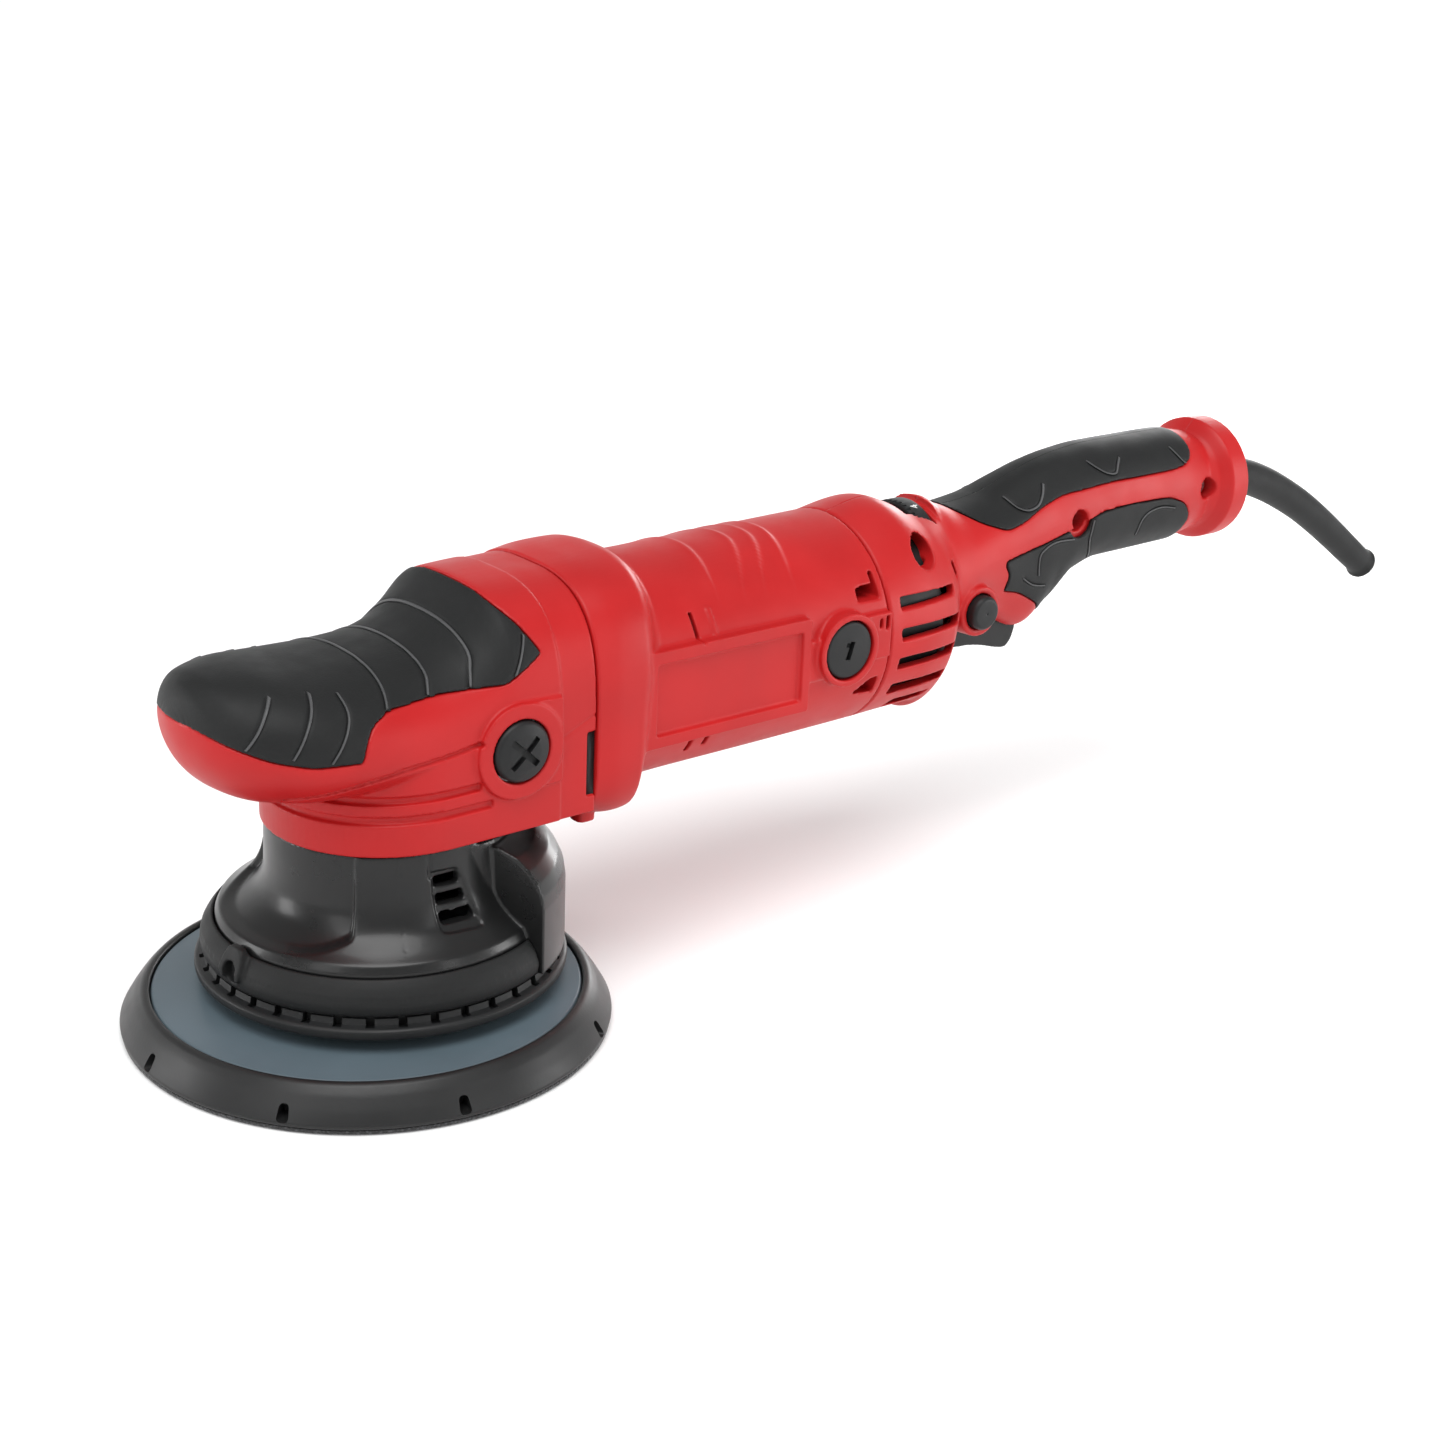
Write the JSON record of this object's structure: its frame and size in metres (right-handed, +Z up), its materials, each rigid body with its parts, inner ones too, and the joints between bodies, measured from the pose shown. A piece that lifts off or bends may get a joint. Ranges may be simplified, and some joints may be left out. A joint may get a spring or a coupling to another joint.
{
  "type": "dual action polisher",
  "caption": "Corded random-orbit car polisher: gear head over an orbiting round pad, shroud, barrel motor housing and a long rear handle with trigger, lock-on button and speed dial.",
  "frame": {"origin": "where the drive spindle's axis meets the pad's hook-and-loop face", "axes": "+Z up along the drive spindle, +X along the motor towards the tail and the cord guard, +Y to the operator's right"},
  "size_m": [0.5669, 0.1506, 0.1426],
  "materials": {
    "red_shell": "satin moulded ABS with a fine grain",
    "grip_rubber": "soft overmoulded rubber",
    "black_plastic": "satin black nylon",
    "shroud_black": "polished black plastic",
    "plate_blue_grey": "glass-filled nylon",
    "pad_foam": "dense moulded polyurethane",
    "hook_fabric": "hook-and-loop face",
    "steel": "ground bright steel",
    "dark_steel": "machined or laminated steel",
    "die_cast": "as-cast aluminium",
    "copper": "varnished copper",
    "brass": "pressed brass",
    "carbon": "graphite block",
    "circuit_board": "glass-fibre board"
  },
  "bodies": {
    "housing": {"spindle_bearing_lower": "steel", "spindle_bearing_upper": "steel", "motor_bearing_front": "steel", "motor_bearing_rear": "steel", "gear_case": "die_cast", "handle_insert_left": "steel", "handle_insert_right": "steel", "bearing_plate": "die_cast", "head_cover": "red_shell", "nose_grip": "grip_rubber", "head_plug_left": "black_plastic", "head_plug_right": "black_plastic", "skirt_ring": "black_plastic", "shroud_bell": "shroud_black", "bumper_band": "grip_rubber", "motor_housing": "red_shell", "stator_core": "dark_steel", "field_coil_front": "copper", "field_coil_rear": "copper", "carbon_brush_left": "carbon", "carbon_brush_right": "carbon", "brush_holder_left": "brass", "brush_holder_right": "brass", "brush_cap_left": "black_plastic", "brush_cap_right": "black_plastic", "handle_shell_left": "red_shell", "handle_shell_right": "red_shell", "handle_screw_front": "steel", "handle_screw_middle": "steel", "handle_screw_rear": "steel", "grip_upper_left": "grip_rubber", "grip_upper_right": "grip_rubber", "grip_lower_left": "grip_rubber", "grip_lower_right": "grip_rubber", "speed_board": "circuit_board", "switch_body": "black_plastic", "trigger_pin": "steel", "cord_clamp": "black_plastic", "cord_guard": "grip_rubber"},
    "spindle": {"pad_bearing_lower": "steel", "pad_bearing_upper": "steel", "eccentric_carrier": "dark_steel", "counterweight": "dark_steel", "drive_spindle": "steel", "bevel_gear": "dark_steel"},
    "pad": {"hook_face": "hook_fabric", "pad_rim": "pad_foam", "backing_plate": "plate_blue_grey", "plate_stud": "steel", "pad_spindle": "steel"},
    "armature": {"bevel_pinion": "dark_steel", "motor_shaft": "steel", "cooling_fan": "black_plastic", "armature_core": "dark_steel", "winding_front": "copper", "winding_rear": "copper", "commutator": "copper"},
    "trigger": {"trigger": "black_plastic"},
    "lock_button": {"lock_button": "black_plastic"},
    "speed_dial": {"speed_dial": "black_plastic"}
  },
  "joints": [
    {"name": "spindle_spin", "type": "hinge", "parent": "housing", "child": "spindle", "pos_m": [0, 0, 0.05], "axis": [0, 0, 1], "continuous": true},
    {"name": "pad_spin", "type": "hinge", "parent": "spindle", "child": "pad", "pos_m": [-0.00685, -0.00305, 0], "axis": [0, 0, 1], "continuous": true},
    {"name": "armature_spin", "type": "hinge", "parent": "housing", "child": "armature", "pos_m": [0.1, 0, 0.0966], "axis": [1, 0, 0], "continuous": true},
    {"name": "trigger_pull", "type": "hinge", "parent": "housing", "child": "trigger", "pos_m": [0.226, 0, 0.088], "axis": [0, -1, 0], "range_deg": [0, 9], "stiffness_Nm_per_rad": 1, "springref_deg": -5.73},
    {"name": "lock_press", "type": "slide", "parent": "housing", "child": "lock_button", "axis": [0, 1, 0], "range_m": [0, 0.003], "stiffness_N_per_m": 600, "springref_m": -0.002},
    {"name": "dial_turn", "type": "hinge", "parent": "housing", "child": "speed_dial", "pos_m": [0.2095, 0, 0.1144], "axis": [1, 0, 0], "range_deg": [-90, 90]}
  ],
  "couplings": [
    {"joint": "armature_spin", "follows": "spindle_spin", "ratio": 3}
  ]
}
